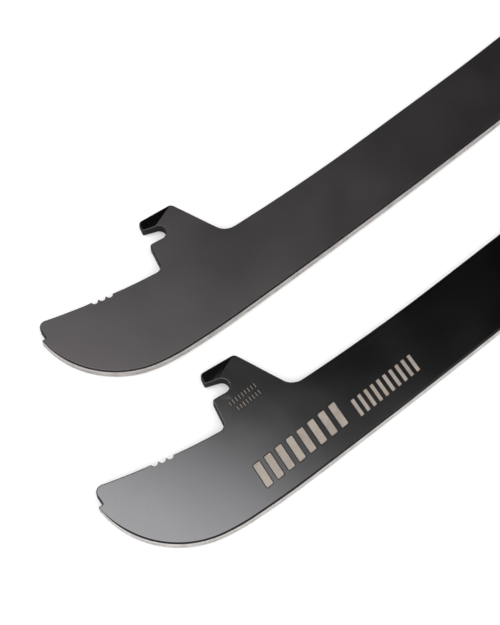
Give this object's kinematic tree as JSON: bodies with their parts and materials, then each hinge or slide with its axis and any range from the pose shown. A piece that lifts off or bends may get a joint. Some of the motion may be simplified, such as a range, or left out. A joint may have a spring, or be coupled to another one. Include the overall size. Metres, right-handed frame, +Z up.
{
  "type": "ice hockey skate runner pair",
  "caption": "Loose pair of flat steel ice hockey skate runners with a dark coating, hook-slotted tabs, a notched rounded toe and a bare hollow-ground ice edge.",
  "frame": {"origin": "middle of the pair's footprint, on the surface that the runners lie on", "axes": "+X along the runners from toe to heel; +Y from the ice edges towards the tabs; +Z up through the plates' thickness"},
  "size_m": [0.2984, 0.0992, 0.0032],
  "materials": {
    "coated_steel": "dark glossy hard coating on polished steel, with a bare ground ice edge"
  },
  "bodies": {
    "root": {"runner_left": "coated_steel", "runner_right": "coated_steel"}
  },
  "joints": []
}
